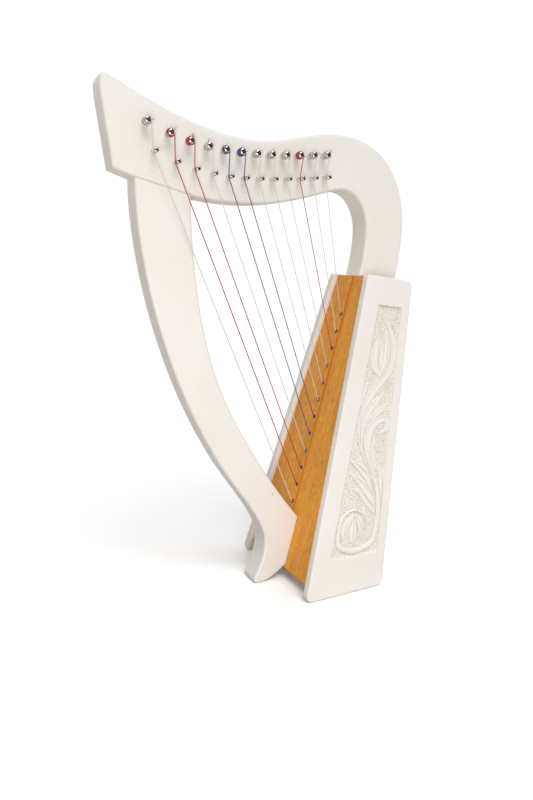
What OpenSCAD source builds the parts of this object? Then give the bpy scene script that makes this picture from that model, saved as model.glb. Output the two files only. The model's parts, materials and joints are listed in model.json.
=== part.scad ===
// Twelve-string lap harp: a flat neck and pillar glued to a tapered soundbox.
// Millimetres. X runs from the pillar to the soundbox, Y from the string side to the
// key side, Z up. The origin is on the floor, under the middle of the harp.

/* [Frame] */
// Thickness of the neck and pillar boards
board_t = 32; // [24:0.1:40]
// Height of the neck's underside where the pillar meets it
neck_z = 433; // [400:1:520]
// Distance from the middle of the harp to the soundbox's front lower corner
box_x = 6; // [0:1:20]

/* [Soundbox] */
// Length of the side panels' front edge
box_len = 367; // [305:1:400]
// How far the soundboard leans back from upright, in degrees
box_lean = 16.3; // [12:0.1:20]
// Width over the side panels at the floor
base_w = 174; // [140:1:210]
// Width over the side panels at the top
top_w = 84; // [70:1:100]
// Depth of a side panel at the top
top_depth = 61; // [58:1:80]
// Depth of a side panel at the floor, along the slope
base_depth = 97; // [80:1:120]
// Thickness of the side panels
wall_t = 11; // [8:0.5:14]
// How far the soundboard sits behind the side panels' front edges
recess = 5; // [2:0.5:8]
// Thickness of the soundboard
soundboard_t = 3; // [2:0.5:5]
// Thickness of the back panel
back_t = 4; // [3:0.5:6]
// Depth of the carved field in a side panel
carve_depth = 3.5; // [2:0.5:5]
// Radius of the lowest sound hole
sound_hole_r = 22; // [15:1:26]

/* [Strings] */
// Number of strings
string_count = 12; // [6:1:12]
// Distance from the floor corner to the lowest eyelet, along the soundboard
first_eyelet = 92; // [90:1:100]
// Distance from the highest eyelet to the top of the soundboard
last_eyelet = 47.3; // [40:0.1:70]
// Diameter of the longest string
bass_string_d = 1.1; // [0.8:0.05:1.4]
// Diameter of the shortest string
treble_string_d = 0.75; // [0.5:0.05:1]

/* [Pins] */
// Diameter of a tuning pin
pin_d = 6.4; // [5:0.1:7.5]
// How far a tuning pin stands out on the string side
pin_reach = 14.5; // [13:0.5:18]
// Diameter of a bridge pin
bridge_d = 4.6; // [4:0.1:6]
// How far a bridge pin stands out of the neck
bridge_reach = 14.5; // [12:0.5:16]

/* [Hidden] */
function two(i) = str(i < 10 ? "0" : "", i);

$fn = 48;
white = [0.93, 0.91, 0.88];
honey = [0.82, 0.52, 0.18];
bare = [0.80, 0.66, 0.46];
nickel = [0.75, 0.74, 0.72];
big = 600;               // larger than the harp, for cutting tools
fit = 0.05;              // running clearance between a pin and its bore
glue = 0.02;             // clearance of a pressed or glued round piece
curve_steps = 14;        // straight facets in each curve of an outline

// --- outlines -----------------------------------------------------------------
function unit(v) = v / norm(v);
function bezier(a, b, c, d) = [for (i = [0:curve_steps - 1]) let (t = i / curve_steps, u = 1 - t)
    u * u * u * a + 3 * u * u * t * b + 3 * u * t * t * c + t * t * t * d];
// Points of an arc of radius r that rounds corner b between its neighbours a and c.
function corner(a, b, c, r, steps = 6) =
    let (u = unit(a - b), v = unit(c - b), half = acos(u * v) / 2,
        centre = b + unit(u + v) * r / sin(half),
        p = b + u * r / tan(half) - centre, q = b + v * r / tan(half) - centre,
        start = atan2(p.y, p.x), turn = (atan2(q.y, q.x) - start + 540) % 360 - 180)
    [for (i = [0:steps]) centre + r * [cos(start + turn * i / steps), sin(start + turn * i / steps)]];
// A closed outline with every corner rounded by its own radius.
function rounded(points, radii) = let (n = len(points))
    [for (i = [0:n - 1]) each corner(points[(i + n - 1) % n], points[i], points[(i + 1) % n], radii[i])];

// --- soundbox frame -----------------------------------------------------------
// Inside the box frame x is the depth behind the side panels' front edges and z runs
// up the soundboard. box_point turns such a depth and height into [X, Z].
splay = atan((base_w - top_w) / 2 / box_len);
floor_rise = tan(box_lean);
top_rise = 0.126;        // the top edge's climb towards the back
rear_low = [base_depth, base_depth * floor_rise];
rear_high = [top_depth, box_len + top_depth * top_rise];
back_inset = 2;          // the back panel's setback from the rear edges
top_inset = 2;           // the top block's setback from the top edges
base_lift = 13;          // the base board's height over the floor
base_t = 10;
front = recess + soundboard_t;
rear_slope = (rear_high.x - rear_low.x) / (rear_high.y - rear_low.y);
function rear_x(z) = rear_low.x + (z - rear_low.y) * rear_slope;
function back_face(z) = rear_x(z) - back_inset - back_t;
function seat(x) = box_len - top_inset + x * top_rise;
function sole(x) = base_lift / cos(box_lean) + x * floor_rise;
function inner_half(z) = base_w / 2 - wall_t / cos(splay) - z * tan(splay);
function box_point(x, z) = [box_x + x * cos(box_lean) + z * sin(box_lean),
    z * cos(box_lean) - x * sin(box_lean)];
function box_point3(x, y, z) = let (p = box_point(x, z)) [p.x, y, p.y];

module in_box() { translate([box_x, 0, 0]) rotate([0, box_lean, 0]) children(); }
// A side profile (x, z) drawn across the whole width.
module across(points, width = 2 * big) {
    rotate([90, 0, 0]) linear_extrude(width, center = true) polygon(points);
}
// The tapered space between the side panels, less a margin at each side.
module between_panels(from, to, z0, z1, margin = 0) {
    translate([from, 0, 0]) rotate([90, 0, 90]) linear_extrude(to - from)
        polygon([[-inner_half(z0) + margin, z0], [inner_half(z0) - margin, z0],
            [inner_half(z1) - margin, z1], [-inner_half(z1) + margin, z1]]);
}
module fill_between(points, margin = 0) {
    intersection() {
        across(points);
        between_panels(0, base_depth + 10, -10, box_len + 20, margin);
    }
}

// --- string layout ------------------------------------------------------------
bass_gap = 22;           // bridge pins are this far apart at the bass end
treble_gap = 15.5;       // and this far apart at the treble end
first_bridge = [-124, neck_z + 40];
function gap_sum(i) = i == 0 ? 0 : gap_sum(i - 1) + treble_gap
    + (bass_gap - treble_gap) * exp(-(i - 1) / 2.5);
function bridge(i) = first_bridge
    + [gap_sum(i), 27 * (exp(-i / 2.3) - 1) + 0.07 * i * i];
function tuner(i) = bridge(i) + [0.5 * i - 7, 27 - 0.4 * i];
eyelet_gap = (box_len - last_eyelet - first_eyelet) / (string_count - 1);
function eyelet_z(i) = first_eyelet + eyelet_gap * i;
function string_r(i) = (bass_string_d + (treble_string_d - bass_string_d) * i / 11) / 2;

face_y = -board_t / 2;               // the neck's face on the string side
string_y = face_y - 8.5;             // the strings' plane at the bridge pins
wrap_y = face_y - pin_reach + 3.8;   // the last turn, where the string leaves the pin
tail_y = face_y - pin_reach + 2;     // the cross hole through a tuning pin
groove_r = bridge_d / 2 - 0.4;
pin_r = pin_d / 2;
bridge_depth = 18;
wrap_turns = 5;
strip_t = 1.5;
strip_w = 9;
rib_t = 5;
rib_w = 18;
barrel_r = 1.7;
bore_r = 1.1;
flange_t = 0.6;
knot_r = 1.9;
swell = 1.04;            // a string is this much fatter at its bends and last turn

function flat(p, y) = [p.x, y, p.y];
// Centre line of a string's last turn on its pin, and of its bend at the bridge pin.
function turn_r(i) = pin_r + fit + swell * string_r(i);
function eyelet_mouth(i) = box_point(recess - strip_t - flange_t - string_r(i), eyelet_z(i));
function bend(i) = let (b = bridge(i), pull = unit(unit(tuner(i) + [turn_r(i), 0] - b)
        + unit(eyelet_mouth(i) - b))) b - pull * (groove_r + string_r(i) + fit);
function leave(i) = let (c = bend(i), d = tuner(i) - c, a = atan2(d.y, d.x)
        - asin(turn_r(i) / norm(d)), l = sqrt(d * d - turn_r(i) * turn_r(i)))
    c + l * [cos(a), sin(a)];

// --- wooden frame -------------------------------------------------------------
seam_front = [-143, neck_z + 16];
seam_back = [-86, neck_z];
notch = [-164, neck_z + 24];
shoulder_x = 172;
neck_front = box_point(recess, seat(recess));
neck_rear = box_point(top_depth - back_inset - back_t - 0.4, seat(top_depth - back_inset - back_t - 0.4));

function lift(x, z) = [x, neck_z + z];
neck_outline = concat([notch],
    bezier(lift(-172, 91), lift(-173, 107), lift(-172, 113), lift(-160, 106)),
    bezier(lift(-160, 106), lift(-108, 79), lift(-60, 57), lift(-5, 57)),
    bezier(lift(-5, 57), lift(25, 57), lift(50, 68), lift(81, 68)),
    bezier(lift(81, 68), lift(140, 68), lift(shoulder_x, 29), lift(shoulder_x, -24)),
    bezier(lift(shoulder_x, -24), lift(shoulder_x, -48), lift(168, -70), neck_rear),
    [neck_rear],
    bezier(neck_front, lift(118, -68), lift(122, -48), lift(122, -31)),
    bezier(lift(122, -31), lift(122, -9), lift(108, 11), lift(88, 10)),
    bezier(lift(88, 10), lift(62, 7), lift(30, -7), lift(-20, -7)),
    bezier(lift(-20, -7), lift(-42, -7), lift(-66, -5), seam_back),
    [seam_back, seam_front]);

butt_low = box_point(recess, sole(recess) + 1);
butt_high = box_point(recess, first_eyelet - 13);
pillar_outline = concat(
    bezier(seam_front, lift(-146, -53), [-124, 258], [-66, 155]),
    bezier([-66, 155], [-44, 115], [-10, 78], [-9, 52]),
    bezier([-9, 52], [-8, 38], [-14, 22], [-22, 8]),
    bezier([-22, 8], [-24, 4], [-24, 0], [-19, 0]),
    bezier([-14, 0], [-3, 0], butt_low - [9, 6], butt_low),
    [butt_low],
    bezier(butt_high, [-5, 122], [-42, 189], [-56, 225]),
    bezier([-56, 225], [-78, 282], lift(-87, -83), seam_back),
    [seam_back]);

module board(points) {
    rotate([90, 0, 0]) linear_extrude(board_t, center = true) polygon(points);
}
// A round bar or hole through a point in the neck, from y0 to y1.
module along_y(p, r, y0, y1) {
    translate([p.x, y1, p.y]) rotate([90, 0, 0]) cylinder(r = r, h = y1 - y0);
}

dowel_r = 4;
dowel_len = 44;
seam_way = unit(seam_back - seam_front);
module pillar_dowel_set(r, length) {
    for (share = [0.28, 0.72]) {
        p = seam_front + share * (seam_back - seam_front);
        translate([p.x, 0, p.y]) rotate([0, -atan2(seam_way.y, seam_way.x), 0])
            cylinder(r = r, h = length, center = true);
    }
}
neck_dowel_len = 34;
module neck_dowel_set(r, length) {
    in_box() for (x = [22, 42])
        translate([x, 0, seat(x)]) rotate([0, -atan(top_rise), 0])
            cylinder(r = r, h = length, center = true);
}
screw_r = 2.2;
screw_head_r = 4.2;
screw_heights = [first_eyelet - 54, first_eyelet - 28];
heel_back = front + 20;
screw_len = 46;
module screw_shape() {
    rotate_extrude() polygon([[0, 0], [screw_head_r, 0], [screw_head_r, 0.6], [screw_r, 2.8],
        [screw_r, screw_len - 5], [0, screw_len]]);
}
module at_screws() {
    in_box() for (z = screw_heights) translate([heel_back, 0, z]) rotate([0, -90, 0]) children();
}
module screw_hole() {
    translate([0, 0, -1]) cylinder(r = screw_head_r + glue, h = 1.6 + glue);
    rotate_extrude() polygon([[0, 0], [screw_head_r + glue, 0], [screw_head_r + glue, 0.6],
        [screw_r + glue, 2.8], [screw_r + glue, screw_len - 5], [0, screw_len + 0.1]]);
}

module neck() {
    color(white) difference() {
        board(neck_outline);
        for (i = [0:string_count - 1]) {
            along_y(tuner(i), pin_r + fit, -board_t, board_t);
            along_y(bridge(i), bridge_d / 2 + glue, face_y - 1, face_y + bridge_depth);
        }
        pillar_dowel_set(dowel_r + glue, dowel_len + 1);
        neck_dowel_set(dowel_r + glue, neck_dowel_len + 1);
    }
}
module pillar() {
    color(white) difference() {
        board(pillar_outline);
        pillar_dowel_set(dowel_r + glue, dowel_len + 1);
        at_screws() screw_hole();
    }
}
module pillar_dowels() { color(bare) pillar_dowel_set(dowel_r, dowel_len); }
module neck_dowels() { color(bare) neck_dowel_set(dowel_r, neck_dowel_len); }
module pillar_screws() { color(nickel) at_screws() screw_shape(); }

// --- soundbox -----------------------------------------------------------------
corner_r = 7;
side_profile = [[0, 0], [0, box_len], rear_high, rear_low];
// Margins of the carved field from the panel's front, rear, top and bottom edges.
field_front = 21;
field_rear = 12;
field_top = 32;
field_bottom = 43;
function field_corner(rise, base) = let (x = (rear_low.x - rear_low.y * rear_slope - field_rear
        + rear_slope * base) / (1 - rear_slope * rise)) [x, base + x * rise];
field_low = field_bottom;
field_high = box_len - field_top;
carved_field = [[field_front, field_low + field_front * floor_rise],
    [field_front, field_high + field_front * top_rise],
    field_corner(top_rise, field_high), field_corner(floor_rise, field_low)];

module stretched(points) { polygon([for (p = points) [p.x, p.y / cos(splay)]]); }
module side_panel() {
    intersection() {
        in_box() translate([0, -base_w / 2, 0]) rotate([-splay, 0, 0]) difference() {
            translate([0, wall_t, 0]) rotate([90, 0, 0]) linear_extrude(wall_t)
                stretched(rounded(side_profile, [corner_r, 4, corner_r, corner_r]));
            translate([0, carve_depth, 0]) rotate([90, 0, 0]) linear_extrude(carve_depth + 1)
                stretched(carved_field);
        }
        translate([-big, -big, 0]) cube(2 * big);
    }
}
module side_panel_left() { color(white) side_panel(); }
module side_panel_right() { color(white) mirror([0, 1, 0]) side_panel(); }

module at_eyelets() {
    for (i = [0:string_count - 1]) translate([0, 0, eyelet_z(i)]) rotate([0, 90, 0]) children();
}
board_low = sole(recess);
board_high = seat(recess);
module soundboard() {
    color(honey) in_box() difference() {
        between_panels(recess, front, board_low, board_high);
        at_eyelets() cylinder(r = barrel_r + glue, h = 3 * front);
        screw_bores();
    }
}
module screw_bores() {
    for (z = screw_heights)
        translate([0, 0, z]) rotate([0, 90, 0]) cylinder(r = screw_r + glue, h = heel_back - 3);
}
strip_low = first_eyelet - 11.4;
module string_strip() {
    color(honey) in_box() difference() {
        translate([recess - strip_t, -strip_w / 2, strip_low])
            cube([strip_t, strip_w, board_high - strip_low - 1]);
        at_eyelets() cylinder(r = barrel_r + glue, h = 3 * front);
    }
}
heel_top = first_eyelet - 10;
module inner_rib() {
    color(bare) in_box() difference() {
        translate([front, -rib_w / 2, heel_top])
            cube([rib_t, rib_w, seat(front) - block_t - 0.5 - heel_top]);
        at_eyelets() cylinder(r = bore_r, h = 3 * front);
        at_eyelets() translate([0, 0, front - 1]) cylinder(r = barrel_r + glue, h = 2.5);
    }
}
block_t = 24;
liner = 8;
module top_block() {
    color(bare) difference() {
        in_box() fill_between([[front, seat(front) - block_t], [front, seat(front)],
            [back_face(seat(top_depth)), seat(back_face(seat(top_depth)))],
            [back_face(seat(top_depth) - block_t), seat(back_face(seat(top_depth))) - block_t]]);
        neck_dowel_set(dowel_r + glue, neck_dowel_len + 1);
    }
}
back_low = sole(base_depth) - 2;
back_high = seat(top_depth) - 1;
module back_panel() {
    color(bare) in_box() difference() {
        fill_between([[back_face(back_low), back_low], [back_face(back_low) + back_t, back_low],
            [back_face(back_high) + back_t, back_high], [back_face(back_high), back_high]]);
        for (hole = [[0.3, 1], [0.52, 0.86], [0.72, 0.7]])
            translate([base_depth, 0, hole[0] * box_len]) rotate([0, -90 + atan(rear_slope), 0])
                cylinder(r = sound_hole_r * hole[1], h = base_depth - 3 * rib_t);
    }
}
module base_board() {
    low = back_face(sole(back_face(back_low)));
    high = back_face(sole(low) + base_t);
    color(bare) in_box() fill_between([[front, sole(front)], [low, sole(low)],
        [high, sole(high) + base_t], [front, sole(front) + base_t]]);
}
module heel_block() {
    low = sole(heel_back) + base_t / cos(box_lean);
    color(bare) difference() {
        in_box() across([[front, low], [heel_back, low], [heel_back, heel_top],
            [front, heel_top]], board_t + 4);
        at_screws() screw_hole();
    }
}
liner_low = sole(base_depth) + base_t + 4;
liner_high = seat(0) - block_t - 2;
module soundboard_liners() {
    color(bare) in_box() difference() {
        between_panels(front, front + liner, liner_low, liner_high);
        between_panels(front - 1, front + liner + 1, liner_low - 5, liner_high + 5, liner);
    }
}
module back_liners() {
    strip = [[back_face(liner_low) - liner, liner_low], [back_face(liner_low), liner_low],
        [back_face(liner_high), liner_high], [back_face(liner_high) - liner, liner_high]];
    color(bare) in_box() difference() {
        fill_between(strip);
        between_panels(front, base_depth, liner_low - 5, liner_high + 5, liner);
    }
}

// --- string fittings ----------------------------------------------------------
module eyelets() {
    color(nickel) in_box() at_eyelets() rotate_extrude() polygon([
        [bore_r, recess - strip_t - flange_t], [barrel_r + 0.3, recess - strip_t - flange_t],
        [barrel_r + 1, recess - strip_t - flange_t / 2], [barrel_r + 1, recess - strip_t],
        [barrel_r, recess - strip_t], [barrel_r, front + 1], [bore_r, front + 1]]);
}
module bridge_pin() {
    r = bridge_d / 2;
    groove_at = face_y - string_y;
    rotate_extrude() polygon([[0, -bridge_depth + 0.5], [r, -bridge_depth + 0.5],
        [r, groove_at - 1.1], [groove_r, groove_at - 0.7], [groove_r, groove_at + 0.7],
        [r, groove_at + 1.1],
        [r, bridge_reach - 0.8], [r - 0.8, bridge_reach], [0, bridge_reach]]);
}
module bridge_pins() {
    color(nickel) for (i = [0:string_count - 1])
        translate(flat(bridge(i), face_y)) rotate([90, 0, 0]) bridge_pin();
}
drive_len = 13;
drive_side = pin_d - 1.8;
collar = 4;              // round shank left between the neck and the square drive
function pin_turn(i) = 37 * i;
module tuning_pin(i) {
    color(nickel) translate(flat(tuner(i), face_y)) rotate([90, 0, 0]) rotate([0, 0, pin_turn(i)])
        difference() {
            union() {
                rotate_extrude() polygon([[0, -board_t - collar], [pin_r - 0.5, -board_t - collar],
                    [pin_r, -board_t - collar + 0.5], [pin_r, pin_reach - 1.2],
                    [pin_r - 0.35, pin_reach - 0.4], [pin_r - 1.2, pin_reach], [0, pin_reach]]);
                translate([0, 0, -board_t - collar - drive_len / 2 + 0.01])
                    cube([drive_side, drive_side, drive_len], center = true);
            }
            translate([0, 0, pin_reach - 2]) rotate([0, 90, 0])
                cylinder(r = string_r(i) + 0.1, h = 3 * pin_d, center = true);
        }
}
tail_len = 3;
module ring(p, y, major, minor) {
    translate(flat(p, y)) rotate([90, 0, 0]) rotate_extrude() translate([major, 0]) circle(r = minor);
}
module string_wrap(i) {
    r = string_r(i);
    color("ivory") {
        for (turn = [1:wrap_turns - 1])
            ring(tuner(i), wrap_y + turn * (2 * r + fit), pin_r + r + 0.01, r);
        translate(flat(tuner(i), tail_y)) rotate([90, 0, 0]) rotate([0, 0, pin_turn(i)])
            rotate([0, 90, 0]) cylinder(r = r, h = pin_d + 2 * tail_len, center = true);
    }
}
module rod(a, b, r) {
    d = b - a;
    translate(a) rotate([0, acos(d.z / norm(d)), atan2(d.y, d.x)]) cylinder(r = r, h = norm(d));
}
module string(i) {
    r = string_r(i);
    knot = box_point3(front + rib_t + knot_r, 0, eyelet_z(i));
    mouth = flat(eyelet_mouth(i), 0);
    over = flat(bend(i), string_y);
    off = flat(leave(i), wrap_y);
    color("ivory") union() {
        translate(knot) sphere(knot_r);
        rod(knot, mouth, r);
        translate(mouth) sphere(swell * r);
        rod(mouth, over, r);
        translate(over) sphere(swell * r);
        rod(over, off, r);
        ring(tuner(i), wrap_y, turn_r(i), swell * r);
    }
}

neck();
pillar();
soundboard();
string_strip();
inner_rib();
side_panel_left();
side_panel_right();
back_panel();
top_block();
base_board();
heel_block();
soundboard_liners();
back_liners();
eyelets();
bridge_pins();
neck_dowels();
pillar_dowels();
pillar_screws();
for (i = [1:string_count]) {
    tuning_pin(i - 1);
    string_wrap(i - 1);
    string(i - 1);
}
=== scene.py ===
"""A small lap harp: painted boards, carved sides, honey soundboard, nickel and nylon."""

import json
import math

import bmesh
import bpy
import numpy as np
from bpy.props import (
    FloatProperty,
    FloatVectorProperty,
    IntProperty,
    PointerProperty,
)
from mathutils import Matrix, Vector
from mathutils.bvhtree import BVHTree


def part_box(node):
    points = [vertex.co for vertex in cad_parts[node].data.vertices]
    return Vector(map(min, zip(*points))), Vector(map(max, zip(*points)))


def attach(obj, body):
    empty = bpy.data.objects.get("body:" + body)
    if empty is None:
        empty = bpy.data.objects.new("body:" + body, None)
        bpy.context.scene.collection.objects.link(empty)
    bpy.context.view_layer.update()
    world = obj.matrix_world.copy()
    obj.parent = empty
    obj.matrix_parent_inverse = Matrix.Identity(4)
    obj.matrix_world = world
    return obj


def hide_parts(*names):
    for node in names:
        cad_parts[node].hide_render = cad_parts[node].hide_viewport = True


bl_info = {
    "name": "Lap Harp",
    "version": (1, 0, 0),
    "blender": (4, 5, 0),
    "location": "View3D > Sidebar > Harp",
    "description": "Builds a twelve-string lap harp around its solid parts",
    "category": "Add Mesh",
}

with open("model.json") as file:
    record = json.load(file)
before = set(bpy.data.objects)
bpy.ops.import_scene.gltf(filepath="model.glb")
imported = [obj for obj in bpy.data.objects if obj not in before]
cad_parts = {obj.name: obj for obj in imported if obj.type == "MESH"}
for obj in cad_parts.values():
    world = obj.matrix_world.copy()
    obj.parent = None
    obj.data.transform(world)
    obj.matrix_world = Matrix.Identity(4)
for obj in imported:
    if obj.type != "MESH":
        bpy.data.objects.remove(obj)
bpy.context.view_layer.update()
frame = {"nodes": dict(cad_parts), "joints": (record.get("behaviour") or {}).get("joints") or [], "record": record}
PINS = [joint for joint in frame["joints"] if joint["name"].startswith("pin_")]
MM = 0.001
HARP = "harp"
NECK_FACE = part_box("neck")[0].y
STRING_PLANE = NECK_FACE - 8.5 * MM  # strings run this far from the neck between pins
TAIL_PLANE = NECK_FACE - 12.5 * MM  # the cross hole of each tuning pin
KNOT_DEPTH = 15.6 * MM  # from an eyelet's mouth to the knot behind it
SNUG = 0.05 * MM  # a string's clearance from the metal it lies on


# --- sizes and colours ---------------------------------------------------------


def length(name, description, default):
    return FloatProperty(
        name=name, description=description, default=default, min=0.0, unit="LENGTH", precision=5
    )


def colour(name, description, default):
    return FloatVectorProperty(
        name=name, description=description, default=default, subtype="COLOR", size=3, min=0, max=1
    )


class HarpWoodSizes(bpy.types.PropertyGroup):
    board_round: length("Board edges", "Radius along the edges of the neck and pillar", 3.2 * MM)
    panel_round: length("Panel edges", "Radius along the edges of the side panels", 2.4 * MM)
    field_round: length("Field edges", "Radius along the edges of the carved field", 0.5 * MM)
    inner_round: length("Inner edges", "Radius along the edges of the inner woodwork", 0.4 * MM)
    relief: length("Relief", "Height of the tallest leaf over the carved ground", 2.2 * MM)
    punch_gap: length("Punch spacing", "Distance between punch marks", 2.2 * MM)
    punch_depth: length("Punch depth", "Depth of a punch mark", 0.95 * MM)
    carving_step: length("Carving step", "Distance between points of the carved surface", 0.43 * MM)


class HarpFittingSizes(bpy.types.PropertyGroup):
    eyelet_bore: length("Eyelet bore", "Radius of the hole in an eyelet", 1.45 * MM)
    eyelet_rim: length("Eyelet rim", "Radius of an eyelet's rolled rim", 2.7 * MM)
    bridge_radius: length("Bridge pin", "Radius of a bridge pin", 2.3 * MM)
    groove_radius: length("Bridge groove", "Radius at the bottom of its groove", 1.9 * MM)
    pin_radius: length("Tuning pin", "Radius of a tuning pin", 3.2 * MM)


class HarpStringSizes(bpy.types.PropertyGroup):
    bass: length("Longest string", "Diameter of the longest string", 1.1 * MM)
    treble: length("Shortest string", "Diameter of the shortest string", 0.75 * MM)
    turns: IntProperty(name="Turns", description="Turns of string on a pin", default=4, min=1)
    sides: IntProperty(name="Sides", description="Sides of a string's round section", default=10)
    knot: length("Knot", "Radius of the knot behind the soundboard", 1.25 * MM)


class HarpColours(bpy.types.PropertyGroup):
    paint: colour("Paint", "Warm white paint", (0.80, 0.775, 0.735))
    paint_drift: colour("Paint drift", "Paint where it lies thinner", (0.77, 0.725, 0.665))
    carved_ground: colour("Carved ground", "Punched ground of the carving", (0.74, 0.67, 0.55))
    pit_stain: colour("Punch marks", "Stain that is left in the punch marks", (0.44, 0.33, 0.20))
    # Painted shade: a dark tint for the creases beside the carved leaves, standing in for their shadow.
    crease_shade_tint: colour("Creases", "Wash that is left beside the leaves", (0.36, 0.30, 0.24))
    knot_stain: colour("Knot", "Stain of a small knot under the paint", (0.42, 0.27, 0.16))
    honey: colour("Honey wood", "Varnished soundboard", (0.80, 0.315, 0.024))
    honey_dark: colour("Honey grain", "Darker grain of the soundboard", (0.44, 0.12, 0.007))
    honey_light: colour("Honey fleck", "Pale flecks of the soundboard", (0.92, 0.48, 0.075))
    bare: colour("Bare wood", "Wood inside the soundbox", (0.62, 0.46, 0.28))
    bare_grain: colour("Bare grain", "Grain of the wood inside the soundbox", (0.47, 0.31, 0.16))
    nickel: colour("Nickel", "Plated pins and eyelets", (0.74, 0.71, 0.66))
    haze: colour("Haze", "Nickel where handling has dulled it", (0.55, 0.51, 0.46))
    # Painted reflection: dark nickel standing in for the dark that the eyelets reflect.
    painted_dark_reflection: colour("Tarnish", "Dull nickel of the eyelets", (0.15, 0.13, 0.10))
    clear: colour("Clear nylon", "Clear strings", (0.68, 0.645, 0.60))
    # Painted shade and reflection: a darker, warmer copy of the clear nylon for the turns on the pins.
    wound: colour("Wound nylon", "Clear strings over the pins", (0.46, 0.38, 0.27))
    red: colour("Red nylon", "Red strings", (0.46, 0.010, 0.022))
    blue: colour("Blue nylon", "Blue strings", (0.014, 0.05, 0.26))


class HarpStageSizes(bpy.types.PropertyGroup):
    lens: FloatProperty(name="Lens", description="Camera lens in millimetres", default=32.2)
    place: FloatVectorProperty(
        name="Camera", description="Where the camera stands", size=3, unit="LENGTH",
        default=(-0.3347, -0.7208, 0.3737),
    )
    turn: FloatVectorProperty(
        name="Camera turn", description="Azimuth, elevation and roll, in degrees", size=3,
        default=(-25.05, 11.45, -0.62),
    )


# --- materials -----------------------------------------------------------------


class Wire:
    """One value in a shader tree; arithmetic on it adds Math nodes."""

    def __init__(self, finish, socket):
        self.finish, self.socket = finish, socket

    def maths(self, operation, *others, flip=False):
        values = [*others, self] if flip else [self, *others]
        return self.finish.node("ShaderNodeMath", {"operation": operation}, dict(enumerate(values)))

    def __add__(self, other):
        return self.maths("ADD", other)

    def __rsub__(self, other):
        return self.maths("SUBTRACT", other, flip=True)

    def __mul__(self, other):
        return self.maths("MULTIPLY", other)

    __radd__ = __add__

    def step(self, low, high):
        """0 below low and 1 above high, smooth between them."""
        return self.finish.node(
            "ShaderNodeMapRange",
            {"interpolation_type": "SMOOTHSTEP"},
            {"Value": self, "From Min": low, "From Max": high},
        )


class Finish:
    """A surface finish: one Principled shader and the nodes that feed it."""

    def __init__(self, name, **fixed):
        self.material = bpy.data.materials.new(name)
        self.material.use_nodes = True
        self.tree = self.material.node_tree
        self.tree.nodes.clear()
        out = self.tree.nodes.new("ShaderNodeOutputMaterial")
        self.shader = self.tree.nodes.new("ShaderNodeBsdfPrincipled")
        self.tree.links.new(self.shader.outputs[0], out.inputs[0])
        for socket, value in fixed.items():
            self.feed(socket.replace("_", " ").title().replace("Ior", "IOR"), value)

    def feed(self, socket, value):
        self.set(self.shader.inputs[socket], value)

    def set(self, socket, value):
        if isinstance(value, Wire):
            self.tree.links.new(value.socket, socket)
        elif socket.type == "RGBA":
            socket.default_value = (*tuple(value)[:3], 1)
        else:
            socket.default_value = value

    def node(self, kind, settings=None, sockets=None, out=0):
        made = self.tree.nodes.new(kind)
        for name, value in (settings or {}).items():
            setattr(made, name, value)
        for name, value in (sockets or {}).items():
            self.set(made.inputs[name], value)
        return Wire(self, made.outputs[out])

    def place(self, turn=(0, 0, 0), scale=(1, 1, 1), shift=None):
        """Object coordinates, shifted, turned and then scaled."""
        spot = self.node("ShaderNodeTexCoord", out="Object")
        if shift is not None:
            spot = self.node("ShaderNodeMapping", None, {"Vector": spot, "Location": shift})
        if any(turn):
            spot = self.node("ShaderNodeMapping", None, {"Vector": spot, "Rotation": turn})
        return self.node("ShaderNodeMapping", None, {"Vector": spot, "Scale": scale})

    def noise(self, spot, scale, detail=3.0, roughness=0.5):
        sockets = {"Vector": spot, "Scale": scale, "Detail": detail, "Roughness": roughness}
        return self.node("ShaderNodeTexNoise", None, sockets)

    def mask(self, name):
        """One of the piece's own painted attributes, from 0 to 1."""
        return self.node("ShaderNodeAttribute", {"attribute_name": name}, None, "Fac")

    def blend(self, share, first, second):
        return self.node("ShaderNodeMix", {"data_type": "RGBA"}, {0: share, 6: first, 7: second}, 2)

    def bump(self, height, distance, strength=1.0, under=None):
        sockets = {"Height": height, "Distance": distance, "Strength": strength}
        if under is not None:
            sockets["Normal"] = under
        return self.node("ShaderNodeBump", None, sockets)


FINISHES = {}


def finish_of(name):
    if name not in FINISHES:
        FINISHES[name] = MAKERS[name](bpy.context.scene.harp_colours)
    return FINISHES[name]


def board_lean():
    """How far the soundboard leans back from upright, from its largest flat face."""
    mesh = frame["nodes"]["soundboard"].data
    face = max(mesh.polygons, key=lambda p: p.area)
    return math.atan2(abs(face.normal.z), abs(face.normal.x))


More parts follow.
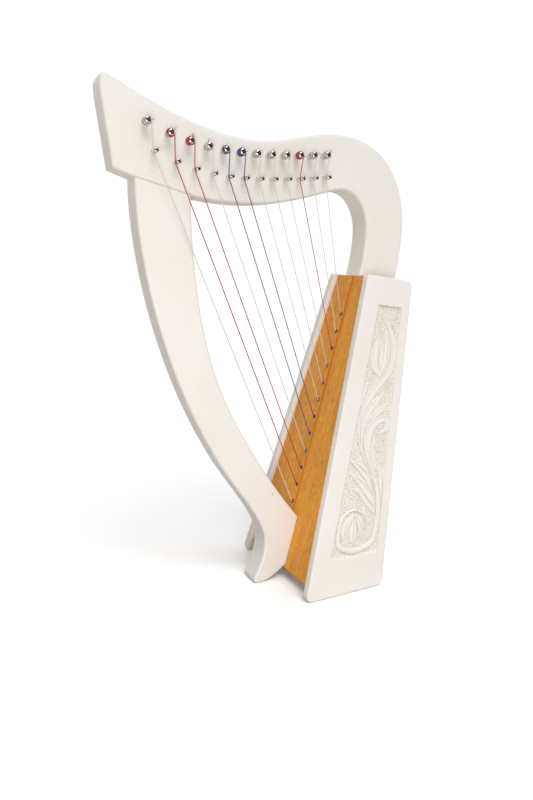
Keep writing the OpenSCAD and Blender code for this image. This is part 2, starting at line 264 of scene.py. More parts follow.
def painted(colours, name, turn=0.0, ground=False, knot=None):
    """Satin paint brushed over wood: faint grain, slow drift of tone and a soft sheen."""
    f = Finish(name, specular_ior_level=0.42)
    drift = f.noise(f.place(), 9.0, 3.0).step(0.42, 0.68)
    tint = f.blend(drift * 0.55, colours.paint, colours.paint_drift)
    grain = f.noise(f.place((0, turn, 0), (1.0, 1.0, 0.035)), 900.0, 2.0)
    tint = f.blend(grain.step(0.60, 0.82) * 0.10, tint, colours.paint_drift)
    brush = f.noise(f.place((0, turn, 0), (1.0, 1.0, 0.12)), 260.0, 2.0)
    speckle = f.noise(f.place(), 520.0, 2.0)
    if knot is not None:
        spot = f.place(shift=-knot)
        away = f.node("ShaderNodeVectorMath", {"operation": "LENGTH"}, {0: spot}, "Value")
        ring = 1 - (away + speckle * (0.9 * MM)).step(0.9 * MM, 2.3 * MM)
        tint = f.blend(ring * 0.75, tint, colours.knot_stain)
    if ground:
        low, pit, crease = (f.mask(name) for name in ("ground", "pit", "crease"))
        stain = f.noise(f.place(), 120.0, 2.0).step(0.25, 0.75)
        tint = f.blend(low * (0.10 + stain * 0.30), tint, colours.carved_ground)
        # Painted shade: the creases beside the leaves are darkened as if shadowed.
        tint = f.blend(crease * (0.55 + stain * 0.25), tint, colours.crease_shade_tint)
        tint = f.blend(pit.step(0.30, 0.85) * (0.25 + stain * 0.40), tint, colours.pit_stain)
    f.feed("Base Color", tint)
    f.feed("Roughness", 0.40 + brush * 0.10 + drift * 0.04)
    relief = f.bump(grain, 0.06 * MM, 0.5)
    relief = f.bump(brush, 0.10 * MM, 0.5, relief)
    f.feed("Normal", f.bump(speckle, 0.05 * MM, 0.5, relief))
    return f.material


def pillar_paint(colours):
    low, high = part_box("pillar")
    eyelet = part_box("eyelets")[0]
    knot = Vector((low.x + 0.82 * (high.x - low.x), low.y, eyelet.z + 21 * MM))
    return painted(colours, "pillar_paint", math.radians(24), knot=knot)


def grained(f, turn, base, dark, light, fine, edge=0.0):
    """Long grain along the board, darker year lines, short pores and a few pale flecks; with an edge share,
    painted shade on faces that point along Y.
    """
    along = f.place(turn, (1.0, 1.0, 0.03))
    broad = f.noise(along, 110.0 * fine, 3.0).step(0.30, 0.70)
    lines = f.noise(along, 620.0 * fine, 4.0, 0.6)
    pores = f.noise(f.place(turn, (1.0, 1.0, 0.15)), 950.0 * fine, 1.0)
    askew = (turn[0], turn[1] + 0.12, turn[2])
    flecks = f.noise(f.place(askew, (1.0, 1.0, 0.2)), 520.0 * fine, 2.0)
    slow = f.noise(f.place(), 16.0, 2.0)
    tint = f.blend(broad * 0.55, base, light)
    tint = f.blend(lines.step(0.48, 0.72) * 0.55, tint, dark)
    tint = f.blend(flecks.step(0.54, 0.66) * 0.50, tint, light)
    tint = f.blend(pores.step(0.54, 0.68) * 0.60, tint, dark)
    tint = f.blend(slow.step(0.35, 0.75) * 0.22, tint, dark)
    # Painted shade: faces that point along Y, such as the strip's long sides, are darkened by the edge share.
    if edge:
        faces = f.node("ShaderNodeNewGeometry", out="Normal")
        across = f.node("ShaderNodeSeparateXYZ", None, {0: faces}, "Y").maths("ABSOLUTE")
        tint = f.blend(across.step(0.35, 0.85) * edge, tint, dark)
    f.feed("Base Color", tint)
    f.feed("Roughness", 0.34 + lines * 0.16)
    f.feed("Normal", f.bump(pores, -0.05 * MM, 0.6, f.bump(lines, 0.05 * MM, 0.4)))
    return f.material


def varnished(colours, name, fine=1.0, edge=0.0):
    """Satin varnish over honey-coloured wood."""
    f = Finish(name, specular_ior_level=0.22, coat_weight=0.05, coat_roughness=0.3)
    tints = colours.honey, colours.honey_dark, colours.honey_light
    return grained(f, (0, -board_lean(), 0), *tints, fine, edge)


def bare_wood(colours):
    f = Finish("bare_wood", specular_ior_level=0.3)
    tints = colours.bare, colours.bare_grain, colours.bare
    return grained(f, (0, -board_lean(), 0), *tints, 0.7)


def nickel(colours):
    f = Finish("nickel", metallic=1.0)
    scuff = f.noise(f.place((0, 0, 0), (1.0, 6.0, 1.0)), 420.0, 3.0)
    haze = f.noise(f.place(), 150.0, 2.0)
    f.feed("Base Color", f.blend(haze.step(0.45, 0.75) * 0.35, colours.nickel, colours.haze))
    f.feed("Roughness", 0.10 + scuff * 0.12)
    f.feed("Normal", f.bump(scuff, 0.01 * MM, 0.5))
    return f.material


def eyelet_nickel(colours):
    f = Finish("eyelet_nickel", metallic=1.0)
    # Painted reflection: the eyelets are mostly dark metal, standing in for the dark they reflect, with random
    # patches of bright nickel.
    painted_dark_reflection = f.noise(f.place(), 300.0, 2.0)
    f.feed("Base Color", f.blend(painted_dark_reflection.step(0.55, 0.85), colours.painted_dark_reflection, colours.nickel))
    f.feed("Roughness", 0.26 + painted_dark_reflection * 0.14)
    return f.material


def dark_cloth(colours):
    f = Finish("dark_cloth", roughness=0.95, specular_ior_level=0.0)
    f.feed("Base Color", (0.012, 0.012, 0.012))
    return f.material


def nylon(name, tint, dim):
    f = Finish(name, specular_ior_level=0.6, coat_weight=0.2, coat_roughness=0.15)
    mottle = f.noise(f.place(), 260.0, 2.0)
    f.feed("Base Color", f.blend(mottle.step(0.4, 0.7) * 0.5, tint, [c * dim for c in tint]))
    f.feed("Roughness", 0.24 + mottle * 0.14)
    f.feed("Normal", f.bump(mottle, 0.02 * MM, 0.4))
    return f.material


MAKERS = {
    "white_paint": lambda c: painted(c, "white_paint"),
    "pillar_paint": pillar_paint,
    "panel_paint": lambda c: painted(c, "panel_paint", -board_lean()),
    "carving_paint": lambda c: painted(c, "carving_paint", -board_lean(), ground=True),
    "honey_wood": lambda c: varnished(c, "honey_wood"),
    # The strip's long sides get painted shade.
    "strip_wood": lambda c: varnished(c, "strip_wood", 1.2, 0.75),
    "bare_wood": bare_wood,
    "nickel": nickel,
    "eyelet_nickel": eyelet_nickel,
    "dark_cloth": dark_cloth,
    "clear_nylon": lambda c: nylon("clear_nylon", c.clear, 0.8),
    "wound_nylon": lambda c: nylon("wound_nylon", c.wound, 0.6),
    "red_nylon": lambda c: nylon("red_nylon", c.red, 0.75),
    "blue_nylon": lambda c: nylon("blue_nylon", c.blue, 0.7),
}


# --- meshes --------------------------------------------------------------------


def add_object(name, data):
    made = bpy.data.objects.new(name, data)
    bpy.context.scene.collection.objects.link(made)
    return made


def mesh_of(name, points, faces):
    mesh = bpy.data.meshes.new(name)
    mesh.from_pydata([tuple(p) for p in points], [], faces)
    mesh.validate()
    return mesh


def closed_mesh(name, points, faces):
    """A closed mesh with all its faces turned outwards."""
    mesh = mesh_of(name, points, faces)
    shape = bmesh.new()
    shape.from_mesh(mesh)
    bmesh.ops.recalc_face_normals(shape, faces=shape.faces)
    return close_shape(shape, mesh)


def joined_shape(node):
    """A solid's mesh, open for editing, with its loose triangles joined."""
    shape = bmesh.new()
    shape.from_mesh(frame["nodes"][node].data)
    bmesh.ops.remove_doubles(shape, verts=shape.verts, dist=2e-6)
    return shape


def close_shape(shape, mesh):
    shape.to_mesh(mesh)
    shape.free()
    return mesh


def shade(mesh, angle=32.0):
    """Smooth shading, with creases kept where faces meet at more than the angle."""
    mesh.polygons.foreach_set("use_smooth", [True] * len(mesh.polygons))
    mesh.set_sharp_from_angle(angle=math.radians(angle))


def apply_modifiers(made):
    """Turns an object and its modifiers into a plain mesh."""
    bpy.context.view_layer.update()
    graph = bpy.context.evaluated_depsgraph_get()
    mesh = bpy.data.meshes.new_from_object(
        made.evaluated_get(graph), preserve_all_data_layers=True, depsgraph=graph
    )
    old = made.data
    made.modifiers.clear()
    if isinstance(old, bpy.types.Mesh):
        made.data = mesh
        bpy.data.meshes.remove(old)
        return made
    name = made.name
    bpy.data.objects.remove(made)
    return add_object(name, mesh)


def weigh_normals(made):
    made.modifiers.new("weighted", "WEIGHTED_NORMAL").keep_sharp = True
    return apply_modifiers(made)


def paint(made, finish):
    made.data.materials.clear()
    made.data.materials.append(finish_of(finish))
    return made


def settle(made, body, slot, *nodes):
    """Gives a piece its body and hides the solids that it stands for; the slot is not used."""
    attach(made, body)
    if nodes:
        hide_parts(*nodes)
    return made


def merged_copy(node, name):
    """A solid's mesh with its loose triangles joined and its flat faces made whole."""
    shape = joined_shape(node)
    bmesh.ops.dissolve_limit(
        shape, angle_limit=math.radians(0.5), verts=shape.verts, edges=shape.edges,
        use_dissolve_boundaries=False,
    )
    return add_object(name, close_shape(shape, bpy.data.meshes.new(name)))


def round_edges(made, width, segments, **settings):
    bevel = made.modifiers.new("round", "BEVEL")
    bevel.width, bevel.segments, bevel.miter_outer = width, segments, "MITER_ARC"
    for name, value in settings.items():
        setattr(bevel, name, value)
    return apply_modifiers(made)


def finish_board(made, finish, body, slot, node, angle=32.0):
    """Shades and coats a piece that stands for one solid."""
    shade(made.data, angle)
    return settle(paint(weigh_normals(made), finish), body, slot, node)


def eased_copy(node, name, width, finish, body=HARP, slot=None, segments=3):
    """A copy of a solid with its sharp edges rounded to a width."""
    made = merged_copy(node, name)
    if width > 0:
        round_edges(made, width, segments, limit_method="ANGLE",
                    angle_limit=math.radians(34), use_clamp_overlap=True)
    return finish_board(made, finish, body, slot or finish, node)


def outline_of(node, side):
    """The outer outline of a board's flat face at y = side, as [x, z] points in order."""
    mesh = frame["nodes"][node].data
    edges = {}
    for face in mesh.polygons:
        spots = [mesh.vertices[v].co for v in face.vertices]
        if all(abs(p.y - side) < 2e-5 for p in spots):
            keys = [(round(p.x * 1e5), round(p.z * 1e5)) for p in spots]
            for a, b in zip(keys, keys[1:] + keys[:1]):
                edges.setdefault(frozenset((a, b)), []).append((a, b))
    ahead = {pair[0][0]: pair[0][1] for pair in edges.values() if len(pair) == 1}
    loops = []
    while ahead:
        start, spot = ahead.popitem()
        loop = [start]
        while spot != start:
            loop.append(spot)
            spot = ahead.pop(spot)
        loops.append([Vector((x * 1e-5, z * 1e-5)) for x, z in loop])
    loop = max(loops, key=lambda line: sum((a - b).length for a, b in zip(line, line[1:])))
    area = sum(a.x * b.y - b.x * a.y for a, b in zip(loop, loop[1:] + loop[:1]))
    return loop if area > 0 else loop[::-1]


def rounded_board(node, name, radius, neighbours, finish, slot, segments=6):
    """A flat board along its solid's outline, rounded everywhere except where it is glued."""
    low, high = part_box(node)
    loop = outline_of(node, low.y)
    trees = [
        BVHTree.FromPolygons([v.co for v in m.vertices], [p.vertices for p in m.polygons])
        for m in (frame["nodes"][n].data for n in neighbours)
    ]

    def glued(a, b):
        spots = [a.lerp(b, share) for share in (0.35, 0.5, 0.65)]
        spots = [Vector((p.x, 10 * MM, p.y)) for p in spots]
        return any(all((tree.find_nearest(p)[3] or 1) < 0.3 * MM for p in spots) for tree in trees)

    count = len(loop)
    inset = [0.0 if glued(loop[i], loop[(i + 1) % count]) else 1.0 for i in range(count)]
    moves = []
    for i in range(count):
        before, after = loop[i] - loop[i - 1], loop[(i + 1) % count] - loop[i]
        n1 = Vector((-before.y, before.x)).normalized()
        n2 = Vector((-after.y, after.x)).normalized()
        d1, d2 = inset[i - 1], inset[i]
        turn = n1.x * n2.y - n1.y * n2.x
        if abs(turn) < 0.02:
            moves.append((n1 + n2) / 2 * max(d1, d2) if d1 == d2 else n1 * d1)
        else:
            moves.append(Vector(((d1 * n2.y - d2 * n1.y) / turn, (d2 * n1.x - d1 * n2.x) / turn)))
    steps = [math.radians(90 * k / segments) for k in range(segments + 1)]
    rings = [(1 - math.cos(t), low.y + radius * (1 - math.sin(t))) for t in steps][::-1]
    rings += [(1 - math.cos(t), high.y - radius * (1 - math.sin(t))) for t in steps]
    points, faces = [], []
    for share, y in rings:
        for spot, move in zip(loop, moves):
            p = spot + move * (share * radius)
            points.append((p.x, y, p.y))
    for start in range(0, (len(rings) - 1) * count, count):
        for i in range(count):
            a, b = start + i, start + (i + 1) % count
            faces.append([b, b + count, a + count, a])
    faces.append(list(range(count)))
    faces.append([(len(rings) - 1) * count + i for i in range(count)][::-1])
    made = add_object(name, closed_mesh(name, points, faces))
    return finish_board(made, finish, HARP, slot, node, 40.0)


def islands(node):
    """The separate solids of a node, each as an array of its points, ordered along X."""
    shape = joined_shape(node)
    todo, groups = set(shape.verts), []
    while todo:
        stack, group = [todo.pop()], []
        while stack:
            vert = stack.pop()
            group.append(vert.co[:])
            for edge in vert.link_edges:
                other = edge.other_vert(vert)
                if other in todo:
                    todo.remove(other)
                    stack.append(other)
        groups.append(np.array(group))
    shape.free()
    return sorted(groups, key=lambda g: g[:, 0].mean())


def middle(values):
    return (values.min() + values.max()) / 2


def facing(way):
    """The turn that points Z along a way."""
    return Vector(way).to_track_quat("Z", "Y")


def lathe(name, profile, sides=40):
    """A turned mesh about Z from (radius, height) points; a radius of 0 closes the shape."""
    points, faces, rings = [], [], []
    for radius, height in profile:
        if radius < 1e-9:
            rings.append([len(points)] * sides)
            points.append((0, 0, height))
        else:
            rings.append(list(range(len(points), len(points) + sides)))
            for k in range(sides):
                a = 2 * math.pi * k / sides
                points.append((radius * math.cos(a), radius * math.sin(a), height))
    closed = profile[0][0] > 1e-9
    pairs = list(zip(rings, rings[1:])) + ([(rings[-1], rings[0])] if closed else [])
    for lower, upper in pairs:
        for k in range(sides):
            j = (k + 1) % sides
            face = list(dict.fromkeys([lower[k], lower[j], upper[j], upper[k]]))
            if len(face) > 2:
                faces.append(face)
    mesh = closed_mesh(name, points, faces)
    shade(mesh, 38.0)
    return mesh


# --- geometry nodes ------------------------------------------------------------


def start_tree(name, **inputs):
    """A Geometry Nodes tree with a geometry input, named inputs and a geometry output."""
    tree = bpy.data.node_groups.new(name, "GeometryNodeTree")
    for label, kind in {"Geometry": "Geometry", **inputs}.items():
        tree.interface.new_socket(label, in_out="INPUT", socket_type=f"NodeSocket{kind}")
    tree.interface.new_socket("Geometry", in_out="OUTPUT", socket_type="NodeSocketGeometry")
    given = tree.nodes.new("NodeGroupInput")
    return tree, given.outputs


def tree_node(tree, kind, settings=None, links=None):
    made = tree.nodes.new(kind)
    for name, value in (settings or {}).items():
        setattr(made, name, value)
    for name, value in (links or {}).items():
        if isinstance(value, bpy.types.NodeSocket):
            tree.links.new(value, made.inputs[name])
        else:
            made.inputs[name].default_value = value
    return made


def end_tree(tree, shape, given):
    """Realizes what was set out, gives it its material and sends it out."""
    real = tree_node(tree, "GeometryNodeRealizeInstances", None, {"Geometry": shape})
    coat = tree_node(tree, "GeometryNodeSetMaterial", None,
                     {"Geometry": real.outputs[0], "Material": given["Material"]})
    tree.links.new(coat.outputs[0], tree.nodes.new("NodeGroupOutput").inputs[0])
    return tree


def sweep(tree, line, given):
    """A round section along a line, with closed ends."""
    section = tree_node(tree, "GeometryNodeCurvePrimitiveCircle", None,
                        {"Resolution": given["Sides"], "Radius": given["Radius"]})
    tube = tree_node(tree, "GeometryNodeCurveToMesh", None,
                     {"Curve": line, "Profile Curve": section.outputs[0], "Fill Caps": True})
    return tube.outputs[0]


def smooth(tree, shape):
    return tree_node(tree, "GeometryNodeSetShadeSmooth", None, {"Geometry": shape}).outputs[0]


def fitting_tree():
    """Puts one fitting on every point, turned by one angle."""
    tree, given = start_tree("set_out_fittings", Fitting="Object", Turn="Rotation",
                             Material="Material")
    part = tree_node(tree, "GeometryNodeObjectInfo", None, {"Object": given["Fitting"]})
    placed = tree_node(tree, "GeometryNodeInstanceOnPoints", None,
                       {"Points": given["Geometry"], "Instance": part.outputs["Geometry"],
                        "Rotation": given["Turn"]})
    return end_tree(tree, placed.outputs[0], given)


def cord_tree():
    """Sweeps a round section along the given line."""
    tree, given = start_tree("draw_string", Radius="Float", Sides="Int", Material="Material")
    line = tree_node(tree, "GeometryNodeMeshToCurve", None, {0: given["Geometry"]})
    return end_tree(tree, smooth(tree, sweep(tree, line.outputs[0], given)), given)


def winding_tree():
    """Winds a round section into a coil around Z, beside the shape that is given."""
    tree, given = start_tree("wind_string", Turns="Float", Coil="Float", Height="Float",
                             Radius="Float", Sides="Int", Material="Material")
    coil = tree_node(tree, "GeometryNodeCurveSpiral", None,
                     {"Resolution": 36, "Rotations": given["Turns"], "Height": given["Height"],
                      "Start Radius": given["Coil"], "End Radius": given["Coil"]})
    both = tree_node(tree, "GeometryNodeJoinGeometry")
    tree.links.new(sweep(tree, coil.outputs[0], given), both.inputs[0])
    tree.links.new(given["Geometry"], both.inputs[0])
    return end_tree(tree, smooth(tree, both.outputs[0]), given)


TREES = {}


def grow(made, maker, **inputs):
    """Runs a Geometry Nodes tree on an object and keeps the plain mesh."""
    if maker not in TREES:
        TREES[maker] = maker()
    modifier = made.modifiers.new("grow", "NODES")
    modifier.node_group = tree = TREES[maker]
    for item in tree.interface.items_tree:
        if item.in_out == "INPUT" and item.name in inputs:
            modifier[item.identifier] = inputs[item.name]
    return apply_modifiers(made)


def line_object(name, points):
    mesh = bpy.data.meshes.new(name)
    mesh.from_pydata([tuple(p) for p in points], [(i, i + 1) for i in range(len(points) - 1)], [])
    return add_object(name, mesh)


# --- the carving ---------------------------------------------------------------


def flow(points, count=60):
    """A smooth line through points, as an array of evenly spaced steps."""
    p = np.array([points[0], *points, points[-1]], float)
    out = []
    for i in range(1, len(p) - 2):
        t = np.linspace(0, 1, count // (len(p) - 3), endpoint=False)[:, None]
        a, b, c, d = p[i - 1], p[i], p[i + 1], p[i + 2]
        out.append(0.5 * (2 * b + (c - a) * t + (2 * a - 5 * b + 4 * c - d) * t**2
                          + (3 * b - a - 3 * c + d) * t**3))
    return np.vstack([*out, p[-1:]])


def along(line, x, y):
    """For each point: its share along the line, and its distance to the line's left."""
    start, step = line[:-1], np.diff(line, axis=0)
    size = np.maximum(np.hypot(step[:, 0], step[:, 1]), 1e-9)
    run = np.concatenate([[0], np.cumsum(size)])
    best = np.full(x.shape, 1e9)
    share, side = np.zeros(x.shape), np.zeros(x.shape)
    for k in range(len(step)):
        dx, dy = x - start[k, 0], y - start[k, 1]
        t = np.clip((dx * step[k, 0] + dy * step[k, 1]) / size[k] ** 2, 0, 1)
        ex, ey = dx - t * step[k, 0], dy - t * step[k, 1]
        away = np.hypot(ex, ey)
        sign = np.sign(step[k, 0] * ey - step[k, 1] * ex)
        near = away < best
        best = np.where(near, away, best)
        share = np.where(near, (run[k] + t * size[k]) / run[-1], share)
        side = np.where(near, away * sign, side)
    return share, side


# Leaves of the scroll, laid one over another. Each has its spine across (0 front, 1 rear) and
# up (0 low, 1 high) the field, its widest half-width in mm, where that lies along it, its
# height as a share of the relief, and its cut: "stem" is round, "leaf" has a vein down the
# middle and "scoop" has raised edges.
LEAVES = [
    ([(0.95, 0.09), (0.97, 0.19), (0.93, 0.30), (0.76, 0.395)], 2.4, 0.45, 0.6, "stem"),
    ([(0.93, 0.15), (0.72, 0.205), (0.50, 0.25), (0.27, 0.27)], 5.4, 0.50, 0.7, "leaf"),
    ([(0.90, 0.18), (0.66, 0.25), (0.41, 0.30), (0.11, 0.335)], 5.6, 0.50, 0.8, "leaf"),
    ([(0.88, 0.21), (0.65, 0.30), (0.36, 0.355), (0.02, 0.39)], 5.6, 0.50, 0.9, "leaf"),
    ([(0.20, 0.46), (0.07, 0.57), (0.08, 0.65), (0.17, 0.705)], 3.2, 0.45, 0.7, "leaf"),
    ([(0.48, 0.72), (0.24, 0.77), (0.20, 0.82), (0.31, 0.865)], 5.0, 0.50, 0.8, "scoop"),
    ([(0.50, 0.715), (0.56, 0.77), (0.48, 0.82), (0.33, 0.86)], 4.4, 0.50, 0.9, "leaf"),
    ([(0.40, 0.66), (0.58, 0.73), (0.66, 0.79), (0.62, 0.865), (0.46, 0.92)],
     4.6, 0.50, 0.8, "leaf"),
    ([(0.88, 0.20), (0.66, 0.33), (0.38, 0.42), (0.19, 0.50), (0.15, 0.575), (0.26, 0.635),
      (0.46, 0.68), (0.74, 0.73), (0.88, 0.79), (0.86, 0.85), (0.63, 0.91), (0.33, 0.955)],
     5.0, 0.72, 1.0, "scoop"),
    ([(0.28, 0.45), (0.26, 0.55), (0.43, 0.605), (0.76, 0.655)], 4.4, 0.60, 0.9, "scoop"),
    ([(0.38, 0.43), (0.37, 0.51), (0.56, 0.565), (0.87, 0.605)], 4.6, 0.60, 0.9, "scoop"),
    ([(0.72, 0.32), (0.45, 0.43), (0.42, 0.50), (0.63, 0.54), (0.90, 0.545), (0.92, 0.505),
      (0.72, 0.485)], 5.0, 0.60, 1.0, "scoop"),
    ([(0.74, 0.34), (0.60, 0.42), (0.63, 0.475)], 3.4, 0.50, 0.8, "leaf"),
    ([(0.76, 0.30), (0.88, 0.24), (0.95, 0.15), (0.93, 0.075), (0.82, 0.035), (0.48, 0.02),
      (0.16, 0.05), (0.07, 0.11), (0.12, 0.165), (0.34, 0.188), (0.60, 0.16), (0.70, 0.10)],
     3.9, 0.30, 1.0, "stem"),
    ([(0.39, 0.15), (0.42, 0.10), (0.44, 0.065), (0.47, 0.045)], 5.0, 0.50, 0.7, "leaf"),
    ([(0.37, 0.165), (0.26, 0.135), (0.22, 0.10), (0.22, 0.065)], 4.6, 0.50, 0.9, "leaf"),
    ([(0.39, 0.165), (0.53, 0.135), (0.60, 0.10), (0.60, 0.07)], 4.6, 0.50, 0.9, "leaf"),
]


def leaf_form(cut, side, half, share):
    """The height of a leaf's cross-section, from 0 to about 1."""
    r = np.clip(np.abs(side) / half, 0, 1)
    if cut == "stem":
        return np.sqrt(np.clip(1 - 0.9 * r * r, 0, 1))
    if cut == "leaf":
        vein = 1 - 0.5 * np.exp(-((side / 0.7) ** 2))
        return (0.62 + 0.38 * np.cos(r * np.pi / 2)) * vein - 0.08 * np.cos(side * 2.6 + share * 9)
    return 0.45 + 0.50 * r**2 + 0.12 * side / half - 0.07 * np.cos(side * 2.2)


def punched(x, y, gap, seed):
    """Round punch marks scattered over the ground, 1 at the middle of each."""
    rng = np.random.default_rng(seed)
    cells = int(x.max() / gap) + 3, int(y.max() / gap) + 3
    jitter = rng.uniform(-0.34, 0.34, (*cells, 2))
    size = rng.uniform(0.34, 0.52, cells)
    base_x, base_y = np.floor(x / gap).astype(int), np.floor(y / gap).astype(int)
    pit = np.zeros(x.shape)
    for ox in (-1, 0, 1):
        for oy in (-1, 0, 1):
            i = np.clip(base_x + ox, 0, cells[0] - 1)
            j = np.clip(base_y + oy, 0, cells[1] - 1)
            px = (base_x + ox + 0.5 + jitter[i, j, 0]) * gap
            py = (base_y + oy + 0.5 + jitter[i, j, 1]) * gap
            away = np.hypot(x - px, y - py) / (size[i, j] * gap)
            pit = np.maximum(pit, np.clip(1 - away * away, 0, 1))
    return pit


GROUND = 1.45  # mm from the field's floor to the carved ground


def carved_heights(across, up, wide, tall, sizes, seed=7):
    """Height over the field's floor at shares across and up, with masks for the paint; the crease mask is painted
    shade.
    """

    def spot(u, v):
        width = wide[0] + (wide[1] - wide[0]) * np.asarray(v)
        return np.stack([np.asarray(u) * width, np.asarray(v) * tall + 0 * width], -1)

    grid = spot(across, up)
    x, y = grid[..., 0], grid[..., 1]
    relief = sizes.relief / MM
    top = np.zeros(x.shape)
    for spine, width, widest, height, cut in LEAVES:
        line = flow([spot(u, v) for u, v in spine])
        share, side = along(line, x, y)
        swell = np.where(share < widest, share / widest, (1 - share) / (1 - widest))
        root = np.where(share < widest, 0.6 if cut == "stem" else 0.35, 0.0)
        half = width * (root + (1 - root) * np.sin(np.clip(swell, 0, 1) * np.pi / 2) ** 0.8)
        half = np.maximum(half, 0.4)
        outside = np.abs(side) - half
        edge = np.clip(-outside / 0.9, 0, 1)
        edge = edge * edge * (3 - 2 * edge)
        lift = height * relief * leaf_form(cut, side, half, share) * (0.25 + 0.75 * edge)
        groove = 0.40 + 0.60 * np.clip(outside / 1.1, 0, 1)
        top = np.where(outside < 0, np.maximum(lift, 0.4 * top), top * groove)
    flat = np.clip(1 - top / 0.3, 0, 1)
    pit = punched(x, y, sizes.punch_gap / MM, seed) * flat
    uneven = 0.14 * np.sin(x * 0.55 + 1.3 * np.sin(y * 0.31)) * np.sin(y * 0.47) * flat
    width = wide[0] + (wide[1] - wide[0]) * up
    near = np.minimum(np.minimum(x, width - x), y)
    ramp = np.clip(1 - near / 3.0, 0, 1) ** 2 * 1.3 * flat
    height = GROUND + top + uneven + ramp - pit * sizes.punch_depth / MM * (1 - 0.6 * ramp)
    # Painted shade mask: points lower than their neighbours' mean, mostly beside the leaves, where shadow falls.
    crease = np.clip((spread(height, 3) - height - 0.12) / 0.5, 0, 1) * (1 - 0.7 * flat)
    return height * MM, flat, pit, crease


def spread(values, reach):
    """Each value averaged with its neighbours, over the reach in steps on each side."""
    for axis in (0, 1):
        total = sum(np.roll(values, k, axis) for k in range(-reach, reach + 1))
        values = total / (2 * reach + 1)
    return values


def field_corners(node, outward):
    """The corners of a side panel's sunk field, its outward normal and its depth."""
    mesh = frame["nodes"][node].data
    face = max((p for p in mesh.polygons if p.normal.y * outward > 0.9), key=lambda p: p.area)
    normal = face.normal.copy()
    levels = {}
    for p in mesh.polygons:
        if p.normal.dot(normal) > 0.999:
            levels.setdefault(round(p.center.dot(normal) * 2e4), []).append(p)
    floor = levels[min(levels)]
    spots = {tuple(round(c, 6) for c in mesh.vertices[v].co) for p in floor for v in p.vertices}
    spots = sorted((Vector(s) for s in spots), key=lambda s: s.z)
    low, high = sorted(spots[:2], key=lambda s: s.x), sorted(spots[-2:], key=lambda s: s.x)
    depth = max(levels) / 2e4 - min(levels) / 2e4
    return [low[0], low[1], high[1], high[0]], normal, depth


def build_carving(node, name, outward, sizes):
    """The carved and punched ground of one side panel, as a closed slab in its field."""
    corners, normal, _ = field_corners(node, outward)
    front_low, rear_low, rear_high, front_high = corners
    tall = (front_high - front_low).length / MM
    wide = [(rear_low - front_low).length / MM, (rear_high - front_high).length / MM]
    step = sizes.carving_step / MM
    columns, rows = int(sum(wide) / 2 / step), int(tall / step)
    across, up = np.meshgrid(np.linspace(0, 1, columns), np.linspace(0, 1, rows))
    height, flat, pit, crease = carved_heights(across, up, wide, tall, sizes)
    c = [np.array(v) for v in corners]
    u, v = across[..., None], up[..., None]
    base = (c[0] * (1 - u) + c[1] * u) * (1 - v) + (c[3] * (1 - u) + c[2] * u) * v
    top = base + np.array(normal) * height[..., None]
    under = base - np.array(normal) * 0.4 * MM
    count = columns * rows
    number = np.arange(count).reshape(rows, columns)
    quads = np.stack([number[:-1, :-1], number[:-1, 1:], number[1:, 1:], number[1:, :-1]], -1)
    rim = np.concatenate([number[0, :], number[1:, -1], number[-1, -2::-1], number[-2:0:-1, 0]])
    low_ring = count + np.arange(len(rim))
    points = np.vstack([top.reshape(-1, 3), under.reshape(-1, 3)[rim]])
    faces = quads.reshape(-1, 4).tolist()
    for k in range(len(rim)):
        j = (k + 1) % len(rim)
        faces.append([rim[j], rim[k], low_ring[k], low_ring[j]])
    faces.append(low_ring[::-1].tolist())
    mesh = mesh_of(name, points, faces)
    if mesh.polygons[0].normal.dot(normal) < 0:
        mesh.flip_normals()
    for label, values in (("ground", flat), ("pit", pit), ("crease", crease)):
        layer = mesh.attributes.new(label, "FLOAT", "POINT")
        values = np.concatenate([values.ravel(), np.ones(len(rim))])
        layer.data.foreach_set("value", values.astype(np.float32))
    shade(mesh, 70.0)
    return settle(paint(add_object(name, mesh), "carving_paint"), HARP, "white_paint")


# --- operators -----------------------------------------------------------------


class HARP_OT_boards(bpy.types.Operator):
    """Shape the neck and the pillar with soft rounded edges"""

    bl_idname = "harp.boards"
    bl_label = "Neck and Pillar"

    def execute(self, context):
        radius = context.scene.harp_wood.board_round
        for node, beside, finish in (("neck", ["pillar", "top_block"], "white_paint"),
                                     ("pillar", ["neck", "soundboard"], "pillar_paint")):
            rounded_board(node, f"{node}_board", radius, beside, finish, "white_paint")
        return {"FINISHED"}


SIDES = (("left", -1), ("right", 1))


class HARP_OT_side_panels(bpy.types.Operator):
    """Round the edges of the two side panels"""

    bl_idname = "harp.side_panels"
    bl_label = "Side Panels"

    def execute(self, context):
        sizes = context.scene.harp_wood
        for side, outward in SIDES:
            node = f"side_panel_{side}"
            made = merged_copy(node, f"panel_{side}")
            corners, normal, depth = field_corners(node, outward)
            corners += [corner + normal * depth for corner in corners]
            weights = made.data.attributes.new("bevel_weight_edge", "FLOAT", "EDGE")
            weights.data.foreach_set("value", edge_weights(made.data, corners, sizes))
            round_edges(made, sizes.panel_round, 4, limit_method="WEIGHT",
                        use_clamp_overlap=False)
            finish_board(made, "panel_paint", HARP, "white_paint", node)
        return {"FINISHED"}


def edge_weights(mesh, field, sizes):
    """Full rounding on outer edges, a little on the field's, none on flat joints."""
    beside = {}
    for face in mesh.polygons:
        for key in face.edge_keys:
            beside.setdefault(tuple(sorted(key)), []).append(face.normal.copy())
    weights = []
    for edge in mesh.edges:
        ends = [mesh.vertices[v].co for v in edge.vertices]
        normals = beside.get(tuple(sorted(edge.vertices)), [])
        if all(min((end - corner).length for corner in field) < 0.1 * MM for end in ends):
            weights.append(sizes.field_round / sizes.panel_round)
        elif len(normals) == 2 and normals[0].angle(normals[1], 0.0) > math.radians(40):
            weights.append(1.0)
        else:
            weights.append(0.0)
    return weights


